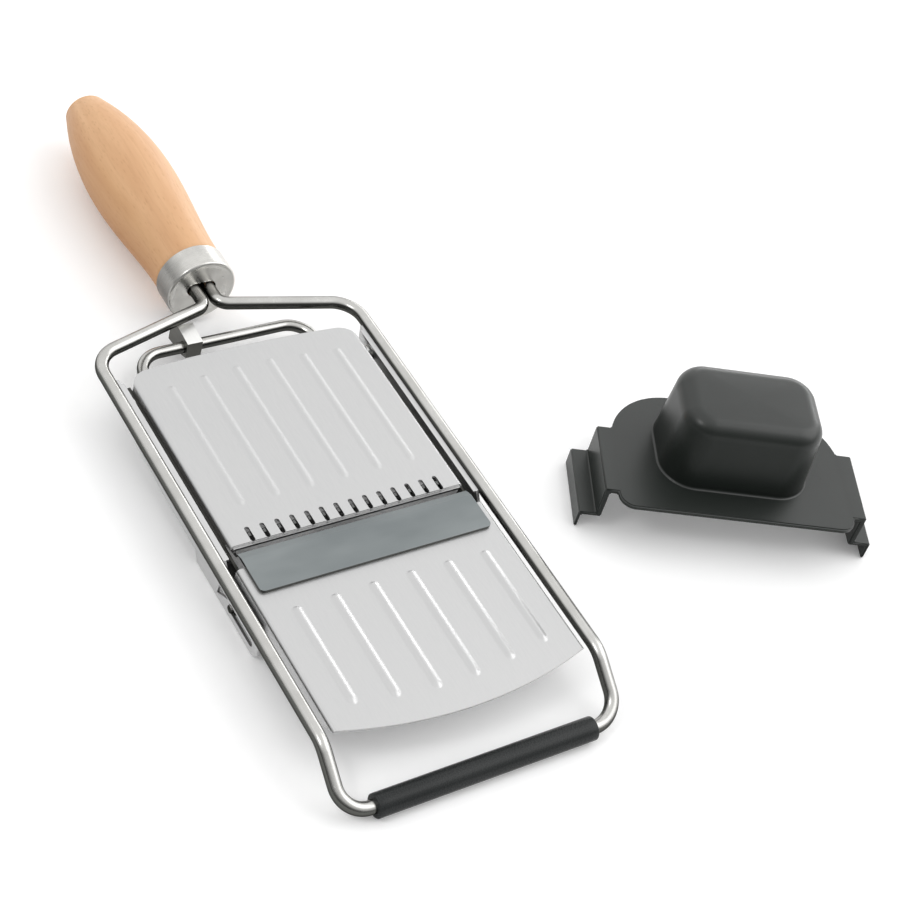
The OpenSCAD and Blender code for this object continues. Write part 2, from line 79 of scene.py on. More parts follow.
class Nodes:
    """Short calls for building one node material."""

    def __init__(self, name):
        self.material = bpy.data.materials.new(name)
        self.material.use_nodes = True
        self.tree = self.material.node_tree
        self.tree.nodes.clear()
        self.out = self.tree.nodes.new("ShaderNodeOutputMaterial")
        self.shader = self.tree.nodes.new("ShaderNodeBsdfPrincipled")
        self.link(self.shader.outputs["BSDF"], self.out.inputs["Surface"])

    def link(self, source, target):
        self.tree.links.new(source, target)

    def set(self, **values):
        """Constant values on the shader's own sockets."""
        for key, value in values.items():
            self.shader.inputs[key.replace("_", " ")].default_value = value

    def place(self, scale=(1, 1, 1), turn=(0, 0, 0), source="Object"):
        """Object coordinates in metres, scaled and turned, or the piece's own UV map, also in metres."""
        coords = self.tree.nodes.new("ShaderNodeTexCoord")
        mapping = self.tree.nodes.new("ShaderNodeMapping")
        mapping.inputs["Scale"].default_value = scale
        mapping.inputs["Rotation"].default_value = turn
        self.link(coords.outputs[source], mapping.inputs["Vector"])
        return mapping.outputs["Vector"]

    def noise(self, vector, scale, detail=4.0, rough=0.55, warp=0.0):
        node = self.tree.nodes.new("ShaderNodeTexNoise")
        node.inputs["Scale"].default_value = scale
        node.inputs["Detail"].default_value = detail
        node.inputs["Roughness"].default_value = rough
        node.inputs["Distortion"].default_value = warp
        self.link(vector, node.inputs["Vector"])
        return node.outputs["Fac"]

    def cells(self, vector, scale):
        node = self.tree.nodes.new("ShaderNodeTexVoronoi")
        node.inputs["Scale"].default_value = scale
        self.link(vector, node.inputs["Vector"])
        return node.outputs["Distance"]

    def span(self, value, low, high, to_low=0.0, to_high=1.0):
        """value mapped from low..high to to_low..to_high, and kept inside it."""
        node = self.tree.nodes.new("ShaderNodeMapRange")
        for key, number in zip(("From Min", "From Max", "To Min", "To Max"), (low, high, to_low, to_high)):
            node.inputs[key].default_value = number
        self.link(value, node.inputs["Value"])
        return node.outputs["Result"]

    def maths(self, kind, a, b):
        node = self.tree.nodes.new("ShaderNodeMath")
        node.operation = kind
        for socket, value in zip(node.inputs, (a, b)):
            if isinstance(value, (int, float)):
                socket.default_value = value
            else:
                self.link(value, socket)
        return node.outputs["Value"]

    def blend(self, amount, a, b):
        """Colour a where amount is 0 and b where it is 1."""
        node = self.tree.nodes.new("ShaderNodeMix")
        node.data_type = "RGBA"
        self.link(amount, node.inputs["Factor"])
        for socket, value in zip((node.inputs[6], node.inputs[7]), (a, b)):
            if isinstance(value, tuple):
                socket.default_value = (*value, 1.0)
            else:
                self.link(value, socket)
        return node.outputs[2]

    def facing(self, direction, low, high, to_low=0.0):
        """1 where the surface looks along the row frame's direction and to_low where it looks away."""
        node = self.tree.nodes.new("ShaderNodeNewGeometry")
        dot = self.tree.nodes.new("ShaderNodeVectorMath")
        dot.operation = "DOT_PRODUCT"
        dot.inputs[1].default_value = Vector(direction).normalized()
        self.link(node.outputs["Normal"], dot.inputs[0])
        return self.span(dot.outputs["Value"], low, high, to_low, 1.0)

    def wear(self):
        """1 on convex edges, 0 elsewhere."""
        node = self.tree.nodes.new("ShaderNodeNewGeometry")
        return self.span(node.outputs["Pointiness"], 0.52, 0.6)

    def colour(self, socket):
        self.link(socket, self.shader.inputs["Base Color"])

    def rough(self, socket):
        self.link(socket, self.shader.inputs["Roughness"])

    def bump(self, height, strength, distance):
        node = self.tree.nodes.new("ShaderNodeBump")
        node.inputs["Strength"].default_value = strength
        node.inputs["Distance"].default_value = distance
        self.link(height, node.inputs["Height"])
        self.link(node.outputs["Normal"], self.shader.inputs["Normal"])


def brushed_steel(
    name, light, dark, roughness, lines=ALONG, fine=900.0, bump=0.12,
    spots=0.0, sides=None, matt_front=False
):
    """Sheet steel with fine lines. lines scales the coordinates, so that the small axis is the lines' own.

    spots adds matt marks, sides is a painted shade colour for upright faces, and matt_front makes faces
    that look towards the foot bar scatter light.
    """
    n = Nodes(name)
    n.set(Metallic=1.0, IOR=2.6)
    streaks = n.noise(n.place(lines), fine, detail=5.0, rough=0.7)
    cloud = n.noise(n.place(), 38.0, detail=3.0, rough=0.5)
    tone = n.maths("ADD", n.maths("MULTIPLY", streaks, 0.6), n.maths("MULTIPLY", cloud, 0.4))
    face = n.blend(n.span(tone, 0.32, 0.68), dark, light)
    # painted shade: where sides is given, faces that do not look up take that dark colour
    n.colour(n.blend(n.facing(UP, 0.1, 0.6), sides, face) if sides else face)
    matt = n.span(tone, 0.34, 0.66, roughness + 0.07, roughness - 0.05)
    if spots:
        marks = n.span(n.noise(n.place(), 420.0, detail=2.0), 0.68, 0.74, 0.0, spots)
        matt = n.maths("ADD", matt, marks)
    n.rough(matt)
    if matt_front:
        # the folded and cut front edges are ground, so they scatter light instead of mirroring it
        ground = n.facing(TO_FOOT_BAR, 0.45, 0.95)
        n.link(n.span(ground, 0.0, 1.0, 1.0, 0.15), n.shader.inputs["Metallic"])
    n.bump(streaks, bump, 0.04 * MM)
    return n.material


def wire_steel(name, light, dark, roughness):
    """Drawn and polished wire: long fine draw lines and faint smudges."""
    n = Nodes(name)
    n.set(Metallic=1.0, IOR=2.6)
    draw = n.noise(n.place((1.0, 0.02, 1.0), source="UV"), 2600.0, detail=4.0, rough=0.6)
    smudge = n.noise(n.place(), 60.0, detail=4.0, rough=0.6)
    face = n.blend(n.span(smudge, 0.35, 0.65), dark, light)
    # painted dark reflection: the flanks of the wire, which look neither up nor down, take a near black
    # colour
    no_painted_shade = n.maths("MAXIMUM", n.facing(UP, 0.50, 0.70), n.facing(DOWN, 0.45, 0.75))
    n.colour(n.blend(no_painted_shade, (0.10, 0.101, 0.094), face))
    n.set(Specular_Tint=(0.3, 0.3, 0.3, 1.0))
    uneven = n.span(smudge, 0.4, 0.7, roughness, roughness + 0.09)
    n.rough(n.maths("ADD", uneven, n.span(draw, 0.4, 0.75, 0.0, 0.06)))
    n.bump(draw, 0.1, 0.02 * MM)
    return n.material


def turned_steel(name, light, dark, roughness):
    """Steel brushed round the handle's axis: the lines are rings, so only y tells them apart."""
    n = Nodes(name)
    n.set(Metallic=1.0, IOR=2.6)
    rings = n.noise(n.place((0.02, 1.0, 0.02)), 3200.0, detail=4.0, rough=0.7)
    scuffs = n.noise(n.place(), 120.0, detail=4.0)
    face = n.blend(n.span(scuffs, 0.35, 0.66), dark, light)
    # painted shade: faces turned away from the upper right front take a darker copy of the steel colour
    n.colour(n.blend(n.facing(UP_RIGHT_FRONT, -0.75, 0.12), tuple(0.3 * c for c in dark), face))
    n.rough(n.span(rings, 0.3, 0.7, roughness - 0.05, roughness + 0.1))
    n.bump(rings, 0.12, 0.03 * MM)
    return n.material


def beech_wood(name):
    """Oiled beech: soft bands along the handle, short dark rays and a fine open grain."""
    n = Nodes(name)
    along = n.place((1.0, 0.09, 1.0), (0.0, 0.0, 0.05))
    bands = n.noise(along, 95.0, detail=3.0, rough=0.5, warp=0.6)
    grain = n.noise(n.place((1.0, 0.035, 1.0)), 900.0, detail=5.0, rough=0.65)
    broad = n.noise(n.place((1.0, 0.3, 1.0)), 22.0, detail=2.0)
    rays = n.span(n.cells(n.place((1.0, 0.25, 1.0)), 900.0), 0.0, 0.34, 1.0, 0.0)
    patch = n.span(n.noise(n.place((1.0, 0.4, 1.0)), 130.0, detail=2.0), 0.30, 0.52)
    base = n.blend(n.span(bands, 0.34, 0.68), (0.61, 0.32, 0.145), (0.74, 0.44, 0.225))
    base = n.blend(n.span(broad, 0.36, 0.66, 0.0, 0.4), base, (0.76, 0.50, 0.305))
    base = n.blend(n.span(grain, 0.5, 0.72, 0.0, 0.2), base, (0.42, 0.215, 0.10))
    base = n.blend(n.maths("MULTIPLY", n.maths("MULTIPLY", rays, patch), 0.45), base, (0.47, 0.23, 0.095))
    # painted shade: the left and lower side, turned away from the light at the upper right, is darker
    n.colour(n.blend(n.facing(UP_RIGHT, -0.95, -0.1, 0.3), (0.36, 0.125, 0.0), base))
    n.rough(n.span(grain, 0.3, 0.7, 0.40, 0.56))
    n.bump(n.maths("SUBTRACT", grain, n.maths("MULTIPLY", rays, 0.5)), 0.16, 0.06 * MM)
    n.set(IOR=1.48, Coat_Weight=0.12, Coat_Roughness=0.35)
    return n.material


def moulded_plastic(name, light, dark, roughness, fine, bump, gloss):
    """Moulded plastic with a fine eroded texture and slightly polished edges."""
    n = Nodes(name)
    texture = n.noise(n.place(), fine, detail=4.0, rough=0.7)
    cloud = n.noise(n.place(), 28.0, detail=3.0)
    mixed = n.blend(n.span(cloud, 0.32, 0.68), dark, light)
    worn = n.maths("MULTIPLY", n.wear(), 0.4)
    n.colour(n.blend(worn, mixed, tuple(min(1.0, c * 1.9) for c in light)))
    n.rough(n.span(texture, 0.3, 0.7, roughness + 0.08, roughness - 0.06))
    n.bump(texture, bump, 0.08 * MM)
    n.set(IOR=1.5)
    # painted shade: faces turned away from the upper right rear get less sheen, so the upright faces look
    # darker
    no_painted_shade = n.facing(UP_RIGHT_REAR, -0.5, 0.45)
    n.link(n.span(no_painted_shade, 0.0, 1.0, 0.28 * gloss, gloss), n.shader.inputs["Specular IOR Level"])
    return n.material


def blade_steel(name):
    """Hardened blade steel: blue grey, ground along its length, with painted shade on its faces that do
    not look up.
    """
    n = Nodes(name)
    n.set(Metallic=1.0, IOR=2.6)
    lines = n.noise(n.place((0.02, 1.0, 1.0)), 1500.0, detail=4.0, rough=0.7)
    cloud = n.noise(n.place((0.4, 1.0, 1.0)), 46.0, detail=3.0)
    face = n.blend(n.span(cloud, 0.34, 0.68), (0.205, 0.226, 0.230), (0.272, 0.295, 0.298))
    # painted shade: faces that do not look up, such as the thin front and side edges, take a near black
    # colour
    n.colour(n.blend(n.facing(UP, 0.2, 0.85), (0.075, 0.077, 0.073), face))
    mixed = n.maths("ADD", n.maths("MULTIPLY", lines, 0.5), n.maths("MULTIPLY", cloud, 0.5))
    n.rough(n.span(mixed, 0.35, 0.65, 0.30, 0.40))
    n.bump(lines, 0.08, 0.03 * MM)
    return n.material


PLATE = brushed_steel(
    "plate_steel", (0.59, 0.59, 0.588), (0.56, 0.562, 0.563), 0.38, lines=SHORT, fine=1500.0,
    bump=0.07, spots=0.05, matt_front=True
)
SIDE = brushed_steel("side_steel", (0.68, 0.68, 0.68), (0.58, 0.58, 0.58), 0.34)
# painted shade: the feed arms sit in the dark gap beside the feed plate, so their steel is coloured near
# black
PAINTED_SHADE_ARM = brushed_steel("arm_steel_painted_shade", (0.075, 0.074, 0.068), (0.05, 0.05, 0.046), 0.40)
COMB = brushed_steel("comb_steel", (0.17, 0.172, 0.168), (0.11, 0.112, 0.11), 0.34, bump=0.05)
# small_steel and tab_steel take a dark sides colour as painted shade on their upright faces
SMALL = brushed_steel(
    "small_steel", (0.88, 0.88, 0.86), (0.74, 0.74, 0.72), 0.36, bump=0.05, sides=(0.15, 0.15, 0.14)
)
TAB = brushed_steel(
    "tab_steel", (0.96, 0.96, 0.94), (0.86, 0.86, 0.84), 0.44, bump=0.05, sides=(0.12, 0.12, 0.11)
)
WIRE = wire_steel("wire_steel", (0.60, 0.595, 0.575), (0.52, 0.515, 0.495), 0.20)
FERRULE = turned_steel("ferrule_steel", (0.68, 0.67, 0.64), (0.55, 0.54, 0.515), 0.27)
BLADE = blade_steel("blade_steel")
BEECH = beech_wood("beech")
RUBBER = moulded_plastic(
    "sleeve_rubber", (0.026, 0.028, 0.028), (0.019, 0.021, 0.021), 0.26, 2600.0, 0.03, 0.24
)
GUARD = moulded_plastic(
    "guard_plastic", (0.015, 0.018, 0.016), (0.011, 0.014, 0.012), 0.33, 2300.0, 0.16, 0.62
)


# ---------------------------------------------------------------- mesh helpers


def piece(name, mesh_bm, node, body, material, smooth_deg=35.0):
    """Makes a finished object of a bmesh, which replaces the CAD node."""
    bmesh.ops.recalc_face_normals(mesh_bm, faces=mesh_bm.faces)
    mesh = bpy.data.meshes.new(name)
    mesh_bm.to_mesh(mesh)
    mesh_bm.free()
    mesh.shade_smooth()
    mesh.set_sharp_from_angle(angle=math.radians(smooth_deg))
    mesh.materials.append(material)
    obj = bpy.data.objects.new(name, mesh)
    bpy.context.scene.collection.objects.link(obj)
    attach(obj, body)
    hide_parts(node)
    return obj


def soften(obj, width_mm, segments=2, angle_deg=38.0):
    """Rounds the piece's sharp edges a little, as deburred metal and moulded plastic have them."""
    bevel = obj.modifiers.new("soft edges", "BEVEL")
    bevel.width = width_mm * MM
    bevel.segments = segments
    bevel.limit_method = "ANGLE"
    bevel.angle_limit = math.radians(angle_deg)
    bevel.use_clamp_overlap = True
    return obj


def cad_mesh(node):
    """The CAD node's own shape as a clean bmesh: welded, with its flat faces whole again."""
    bm = bmesh.new()
    bm.from_mesh(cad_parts[node].data)
    bmesh.ops.remove_doubles(bm, verts=bm.verts, dist=0.002 * MM)
    bmesh.ops.dissolve_limit(
        bm, angle_limit=math.radians(0.4), verts=bm.verts, edges=bm.edges, use_dissolve_boundaries=False
    )
    return bm


def even_normals(obj):
    """Large flat faces keep their own direction next to narrow rounded edges."""
    weighted = obj.modifiers.new("face weighted", "WEIGHTED_NORMAL")
    weighted.mode = "FACE_AREA"
    weighted.weight = 100
    weighted.keep_sharp = True
    return obj


def softened(node, body, material, width_mm=0.12):
    """A metal part that keeps its CAD shape and gets rounded edges."""
    obj = piece("fine_" + node, cad_mesh(node), node, body, material)
    return even_normals(soften(obj, width_mm))


def ring(bm, points):
    """New vertices at the points."""
    return [bm.verts.new(p) for p in points]


def bridge(bm, rings):
    """Quads between each ring and the next, all with the same number of points."""
    for a, b in zip(rings, rings[1:]):
        for i in range(len(a)):
            j = (i + 1) % len(a)
            bm.faces.new((a[i], a[j], b[j], b[i]))


def lathe(profile, centre, axis, steps=96):
    """Revolves a closed outline of (radius, distance along the axis) pairs in mm round an axis."""
    bm = bmesh.new()
    turn = Vector((0, 0, 1)).rotation_difference(Vector(axis)).to_matrix()
    angles = [2 * math.pi * k / steps for k in range(steps)]
    rings = [
        ring(bm, [centre + turn @ Vector((r * math.cos(t), r * math.sin(t), along)) * MM for t in angles])
        for r, along in profile
    ]
    bridge(bm, rings + rings[:1])
    return bm


def rounded_route(points, radii, step_deg=4.0):
    """A list of points with an arc of the given radius at each inner one."""
    route = [points[0]]
    for before, corner, after, radius in zip(points, points[1:], points[2:], radii):
        u = (corner - before).normalized()
        w = (after - corner).normalized()
        angle = u.angle(w)
        back = radius * math.tan(angle / 2)
        inward = (w - u * u.dot(w)).normalized()
        centre = corner - u * back + inward * radius
        steps = max(2, math.ceil(math.degrees(angle) / step_deg))
        for k in range(steps + 1):
            t = angle * k / steps
            route.append(centre - inward * radius * math.cos(t) + u * radius * math.sin(t))
    route.append(points[-1])
    return route


def tube(bm, route, radius, steps=28):
    """A round wire along a route, with UVs in metres: u round it and v along it."""
    uv = bm.loops.layers.uv.verify()
    turns = [2 * math.pi * i / steps for i in range(steps)]
    around = 2 * math.pi * radius / steps
    side = None
    rings, lengths, length = [], [], 0.0
    for k, p in enumerate(route):
        q = route[min(k + 1, len(route) - 1)]
        o = route[max(k - 1, 0)]
        tangent = (q - o).normalized()
        if side is None:
            side = tangent.orthogonal().normalized()
        side = (side - tangent * side.dot(tangent)).normalized()
        other = tangent.cross(side)
        length += (p - o).length if k else 0.0
        lengths.append(length)
        rings.append(ring(bm, [p + (side * math.cos(t) + other * math.sin(t)) * radius for t in turns]))
    for (a, va), (b, vb) in zip(zip(rings, lengths), zip(rings[1:], lengths[1:])):
        for i in range(steps):
            j = (i + 1) % steps
            face = bm.faces.new((a[i], a[j], b[j], b[i]))
            for loop, (u, v) in zip(face.loops, ((i, va), (i + 1, va), (i + 1, vb), (i, vb))):
                loop[uv].uv = (u * around, v)
    bm.faces.new(rings[0])
    bm.faces.new(rings[-1])


def bezier(a, b, c, d, t):
    """The cubic curve's value at t, from its two ends and two handles."""
    s = 1 - t
    return s * s * s * a + 3 * s * s * t * b + 3 * s * t * t * c + t * t * t * d


# ---------------------------------------------------------------- frame wire, sleeve, handle, ferrule

WIRE_MM = 5.0
RAIL_X = (wire_high.x - wire_low.x) / 2 / MM - WIRE_MM / 2
RAIL_Z = -1.2
FOOT_Y = -102.0
FOOT_Z = (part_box("foot_sleeve")[0].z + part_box("foot_sleeve")[1].z) / 2 / MM - SLICER.z / MM
RAIL_REAR_Y = 100.2
ARM_IN_Y = 114.2
FOOT_BEND_Y = -81.5
WIRE_BENDS = [5, 12, 12, 10]
TANG_X = 2.9
TANG_END_Y = 168.0


def mirrored(points):
    """The same points on the slicer's other side, in the opposite order."""
    return [Vector((-p.x, p.y, p.z)) for p in reversed(points)]


def wire_route(half, radii):
    """The whole route of a symmetric wire, from the points and bend radii of its right half."""
    points = [Vector(p) for p in half]
    points = points + mirrored(points)
    placed = [at(*p) for p in points]
    return rounded_route(placed, [r * MM for r in radii + radii[::-1]])


frame_bm = bmesh.new()
tube(frame_bm, wire_route([
    (TANG_X, TANG_END_Y, RAIL_Z), (TANG_X, ARM_IN_Y, RAIL_Z), (RAIL_X, RAIL_REAR_Y, RAIL_Z),
    (RAIL_X, FOOT_BEND_Y, RAIL_Z), (RAIL_X, FOOT_Y, FOOT_Z)
], WIRE_BENDS), WIRE_MM / 2 * MM)
piece("fine_frame_wire", frame_bm, "frame_wire", "frame", WIRE, 60.0)

sleeve_low, sleeve_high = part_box("foot_sleeve")
sleeve_half = (sleeve_high.x - sleeve_low.x) / 2 / MM
sleeve_r = (sleeve_high.z - sleeve_low.z) / 2 / MM
bore_r = WIRE_MM / 2 + 0.05
ROUND = 0.45
sleeve_end = [
    (sleeve_r - ROUND * (1 - math.sin(math.radians(a))),
     sleeve_half - ROUND * (1 - math.cos(math.radians(a))))
    for a in (0, 30, 60, 90)
]
sleeve_side = [(sleeve_r, sleeve_half * k / 12) for k in range(11, -12, -1)]
sleeve_profile = (
    [(bore_r, sleeve_half), (bore_r + 0.3, sleeve_half)] + sleeve_end + sleeve_side
    + [(r, -y) for r, y in reversed(sleeve_end)] + [(bore_r + 0.3, -sleeve_half), (bore_r, -sleeve_half)]
)
piece("fine_foot_sleeve", lathe(sleeve_profile, at(0, FOOT_Y, FOOT_Z), (1, 0, 0)),
      "foot_sleeve", "frame", RUBBER)

handle_low, handle_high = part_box("handle")
handle_r = (handle_high.z - handle_low.z) / 2 / MM
axis_z = ((handle_high.z + handle_low.z) / 2 - SLICER.z) / MM
tip_y = (handle_high.y - SLICER.y) / MM
ferrule_low, ferrule_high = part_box("ferrule")
face_y = (ferrule_low.y - SLICER.y) / MM
ferrule_r = (ferrule_high.z - ferrule_low.z) / 2 / MM
ferrule_len = (ferrule_high.y - ferrule_low.y) / MM
neck_r = ferrule_r - 1.0
neck_face = (handle_low.y - SLICER.y) / MM
neck_end = face_y + ferrule_len
BELLY_Y = 188.0
END_R = 9.0
end_y = tip_y - 4.0
STEPS = 96
SLOT_R = 2.9
SLOT_DEPTH = 8.0


def round_ring(bm, r, y):
    """A circle round the handle's axis."""
    turns = [2 * math.pi * k / STEPS for k in range(STEPS)]
    return ring(bm, [at(r * math.cos(t), y, axis_z - r * math.sin(t)) for t in turns])


def slot_ring(bm, grow, y):
    """The outline of the slot for both ends of the frame wire, grown by so many mm."""
    r = SLOT_R + grow
    points = []
    for k in range(STEPS):
        c, s = math.cos(2 * math.pi * k / STEPS), math.sin(2 * math.pi * k / STEPS)
        flat = r * abs(c) <= TANG_X * abs(s)
        reach = r / abs(s) if flat else TANG_X * abs(c) + math.sqrt(r * r - TANG_X * TANG_X * s * s)
        points.append(at(reach * c, y, RAIL_Z - reach * s))
    return ring(bm, points)


def cap(bm, rim, middle):
    """Closes a ring with triangles to one point in its middle."""
    for i in range(len(rim)):
        bm.faces.new((rim[i], rim[(i + 1) % len(rim)], middle))


handle_profile = [
    (neck_r, neck_face), (neck_r, neck_end), (neck_r + 0.25, neck_end), (neck_r + 0.5, neck_end + 0.25)
]
handle_profile += [
    (bezier(neck_r + 0.5, neck_r + 0.2, handle_r, handle_r, k / 26),
     bezier(neck_end + 0.25, neck_end + 18, BELLY_Y - 20, BELLY_Y, k / 26))
    for k in range(1, 27)
]
handle_profile += [
    (bezier(handle_r, handle_r, END_R + 4, END_R, k / 22),
     bezier(BELLY_Y, BELLY_Y + 20, end_y - 11, end_y, k / 22))
    for k in range(1, 23)
]
handle_profile += [
    (END_R * math.cos(math.radians(a)), end_y + (tip_y - end_y) * math.sin(math.radians(a)))
    for a in range(6, 90, 6)
]
handle_bm = bmesh.new()
handle_rings = [slot_ring(handle_bm, 0.0, neck_face + SLOT_DEPTH), slot_ring(handle_bm, 0.0, neck_face)]
handle_rings += [round_ring(handle_bm, r, y) for r, y in handle_profile]
bridge(handle_bm, handle_rings)
cap(handle_bm, handle_rings[0], handle_bm.verts.new(at(0, neck_face + SLOT_DEPTH, RAIL_Z)))
cap(handle_bm, handle_rings[-1], handle_bm.verts.new(at(0, tip_y, axis_z)))
piece("fine_handle", handle_bm, "handle", "frame", BEECH, 50.0)

ferrule_profile = [
    (ferrule_r, face_y + ferrule_len), (ferrule_r, face_y + ferrule_len - 0.4), (ferrule_r, face_y + 1.2)
]
ferrule_profile += [
    (ferrule_r - 1 + math.cos(math.radians(a)), face_y + 1 - math.sin(math.radians(a)))
    for a in range(0, 91, 10)
]
ferrule_profile += [
    (ferrule_r - 1.5, face_y + 0.06), (ferrule_r - 2.2, face_y + 0.28), (ferrule_r - 3.2, face_y + 0.4)
]
ferrule_bm = bmesh.new()
ferrule_rings = [round_ring(ferrule_bm, r, y) for r, y in ferrule_profile]
ferrule_rings += [
    slot_ring(ferrule_bm, grow, face_y + back)
    for grow, back in ((1.4, 0.45), (0.5, 0.5), (0.15, 0.65), (0.0, 1.0))
]
ferrule_rings.append(slot_ring(ferrule_bm, 0.0, neck_face - 0.01))
ferrule_rings.append(round_ring(ferrule_bm, neck_r + 0.02, neck_face - 0.01))
ferrule_rings.append(round_ring(ferrule_bm, neck_r + 0.02, face_y + ferrule_len))
bridge(ferrule_bm, ferrule_rings + ferrule_rings[:1])
piece("fine_ferrule", ferrule_bm, "ferrule", "frame", FERRULE, 40.0)


# ---------------------------------------------------------------- plates with pressed ribs

def add_rib(bm, x, front, rear, height, half_width):
    """A pressed rib as a closed blister that grows smoothly out of the plate's top."""
    top, low = 0.004, -0.3
    front_end, rear_end = 2.6, 1.3
    rows, columns = 56, 16
    grid = []
    for k in range(rows + 1):
        # rows are closer together at the ends, where the rib rises
        y = (front + rear) / 2 - math.cos(math.pi * k / rows) * (rear - front) / 2
        rise = max(0.0, min(1.0, min((y - front) / front_end, (rear - y) / rear_end)))
        rise = math.sin(rise * math.pi / 2) ** 1.5
        row = []
        for i in range(columns + 1):
            across = 2 * i / columns - 1
            width = half_width * (0.3 + 0.7 * math.sqrt(rise))
            bulge = (0.5 + 0.5 * math.cos(math.pi * across)) ** 0.9
            row.append(bm.verts.new(at(x + across * width, y, top + height * rise * bulge)))
        grid.append(row)
    for a, b in zip(grid, grid[1:]):
        for i in range(columns):
            bm.faces.new((a[i], a[i + 1], b[i + 1], b[i]))
    rim = grid[0] + [row[-1] for row in grid[1:]] + grid[-1][-2::-1] + [row[0] for row in grid[-2:0:-1]]
    skirt = [bm.verts.new(v.co + Vector((0, 0, (low - top) * MM))) for v in rim]
    for i in range(len(rim)):
        j = (i + 1) % len(rim)
        bm.faces.new((rim[j], rim[i], skirt[i], skirt[j]))
    bm.faces.new(skirt)


def without_ribs(bm):
    """Takes the CAD's plain ribs off a plate's top and closes the holes that they leave."""
    proud = [f for f in bm.faces if any(v.co.z > SLICER.z + 0.02 * MM for v in f.verts)]
    bmesh.ops.delete(bm, geom=proud, context="FACES")
    bmesh.ops.holes_fill(bm, edges=[e for e in bm.edges if e.is_boundary], sides=0)
    bmesh.ops.dissolve_limit(bm, angle_limit=math.radians(0.4), verts=bm.verts, edges=bm.edges)


def is_lip(edge, front_y):
    """Whether an edge is on the outer rim of the plate's straight front face."""
    if len(edge.link_faces) != 2 or any(abs(v.co.y - front_y) > 0.05 * MM for v in edge.verts):
        return False
    other = min((f.normal for f in edge.link_faces), key=lambda n: abs(n.y))
    outward = math.copysign(1.0, edge.verts[0].co.x - SLICER.x)
    return other.z + outward * other.x > 0.3


def slope_flange_ends(bm):
    """Cuts the front ends of a plate's side flanges back, more so lower down."""
    flange_width, sheet, end_length, slope = 3 * MM, 1.5 * MM, 2 * MM, 1.1
    edge_x = max(abs(v.co.x - SLICER.x) for v in bm.verts)
    sides = [v for v in bm.verts if abs(v.co.x - SLICER.x) > edge_x - flange_width]
    corner_y = min(v.co.y for v in sides)
    for v in sides:
        depth = SLICER.z - v.co.z
        if depth > sheet and v.co.y < corner_y + end_length:
            v.co.y += slope * depth


def plate(node, body, pitch, rears, fronts, height, half_width, straight_front):
    """A ribbed plate: the CAD's sheet with rounded edges and, either side of the middle, its ribs anew."""
    bm = cad_mesh(node)
    without_ribs(bm)
    if not straight_front:
        slope_flange_ends(bm)
    front_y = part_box(node)[0].y
    lip = [e for e in bm.edges if is_lip(e, front_y)] if straight_front else []
    if lip:
        bmesh.ops.bevel(bm, geom=lip, offset=0.9 * MM, segments=6, affect="EDGES", clamp_overlap=False)
    bmesh.ops.bevel(
        bm, geom=[e for e in bm.edges if e.is_manifold and e.calc_face_angle(0) > math.radians(50)],
        offset=0.12 * MM, segments=2, affect="EDGES", clamp_overlap=True
    )
    for k, (rear, front) in enumerate(zip(rears, fronts)):
        for sign in (-1, 1):
            add_rib(bm, sign * (k + 0.5) * pitch, front, rear, height, half_width)
    return even_normals(piece("fine_" + node, bm, node, body, PLATE, 40.0))


RIB_H = (feed_high.z - SLICER.z) / MM
plate("feed_plate", "feed", pitch=13.8, rears=(80.3, 79.3, 77.7), fronts=(16.5, 16.5, 16.5),
      height=RIB_H * 0.48, half_width=2.0, straight_front=True)
plate("runout_plate", "frame", pitch=15.0, rears=(-29.0, -29.4, -29.8), fronts=(-77.2, -75.5, -73.0),
      height=RIB_H, half_width=2.1, straight_front=False)

softened("blade", "frame", BLADE, 0.1)

# ---------------------------------------------------------------- small metal parts

for node in ("side_plate_left", "side_plate_right"):
    softened(node, "frame", SIDE)
softened("pivot_rod", "frame", SMALL, 0.15)
softened("pivot_collars", "frame", SMALL, 0.15)
for node in ("feed_arm_left", "feed_arm_right"):
    softened(node, "feed", PAINTED_SHADE_ARM)
softened("comb_plate", "comb", COMB, 0.1)
softened("comb_shaft", "comb", SMALL, 0.15)
softened("comb_lever", "comb", COMB, 0.12)
softened("adjuster_clips", "adjuster", SMALL, 0.1)
softened("catch_tab", "catch", TAB, 0.25)

LOOP_MM = 4.5
PIN_MM = 3.0
LOOP_X = 35.75
PIN_Y = -13.5
PIN_Z = -14.8
LOOP_REAR_Y = 103.7
LOOP_REAR_Z = -9.6
LOOP_BENDS = [6, 10]
loop_low, loop_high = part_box("adjuster_wire")
pin_end = (loop_high.x - loop_low.x) / 2 / MM

loop_bm = bmesh.new()
tube(loop_bm, wire_route([
    (LOOP_X + 10, PIN_Y, PIN_Z), (LOOP_X, PIN_Y, PIN_Z), (LOOP_X, LOOP_REAR_Y, LOOP_REAR_Z)
], LOOP_BENDS), LOOP_MM / 2 * MM)
for sign in (-1, 1):
    pin = [at(sign * (LOOP_X + 9), PIN_Y, PIN_Z), at(sign * pin_end, PIN_Y, PIN_Z)]
    tube(loop_bm, pin, PIN_MM / 2 * MM)
piece("fine_adjuster_wire", loop_bm, "adjuster_wire", "adjuster", WIRE, 60.0)


# ---------------------------------------------------------------- guard

GUARD_TURN = math.radians(-27.0)
GUARD_CENTRE = Vector((SLICER.x, SLICER.y, 0)) + Vector((149.3, -29.5, 0)) * MM
PLATE_TOP = 21.7
PLATE_LOW = PLATE_TOP - 2.2
KNOB_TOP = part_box("guard_body")[1].z / MM
KNOB_X = 29.0
KNOB_Y = (-11.0, 29.0)
KNOB_R = 13.0
KNOB_WALL = 2.4
KNOB_DRAFT = 1.5
KNOB_CROWN = 0.5


def guard_at(x, y, z):
    """A point of the guard, in mm from the middle of its plate and z from the table, in the row frame."""
    c, s = math.cos(GUARD_TURN), math.sin(GUARD_TURN)
    return GUARD_CENTRE + Vector((c * x - s * y, s * x + c * y, z)) * MM


